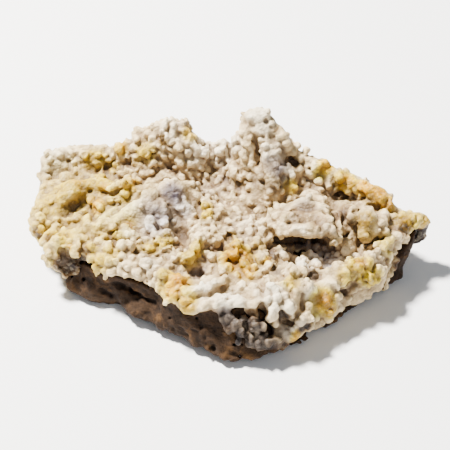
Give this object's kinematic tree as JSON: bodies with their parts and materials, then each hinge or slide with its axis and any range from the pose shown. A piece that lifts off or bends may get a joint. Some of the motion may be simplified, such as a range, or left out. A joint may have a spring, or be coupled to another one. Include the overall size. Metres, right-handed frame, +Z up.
{
  "type": "quartz cluster",
  "caption": "Slab of brown rock covered by a knobbly cream quartz crust, with a tall peak and a hump at the back, a hooded hollow and a thick front lip; rests on its flat underside.",
  "frame": {"origin": "centre of the specimen's bounding box, at the height of its resting face", "axes": "+X along the slab towards its pointed tip, +Y towards the tall peak and hump at the back, +Z up off the resting face"},
  "size_m": [0.154, 0.098, 0.0556],
  "materials": {
    "quartz": "satin, cream white with yellow and orange iron stain",
    "rock": "matt, earthy brown"
  },
  "bodies": {
    "root": {"quartz_crust": "quartz", "matrix_rock": "rock"}
  },
  "joints": []
}
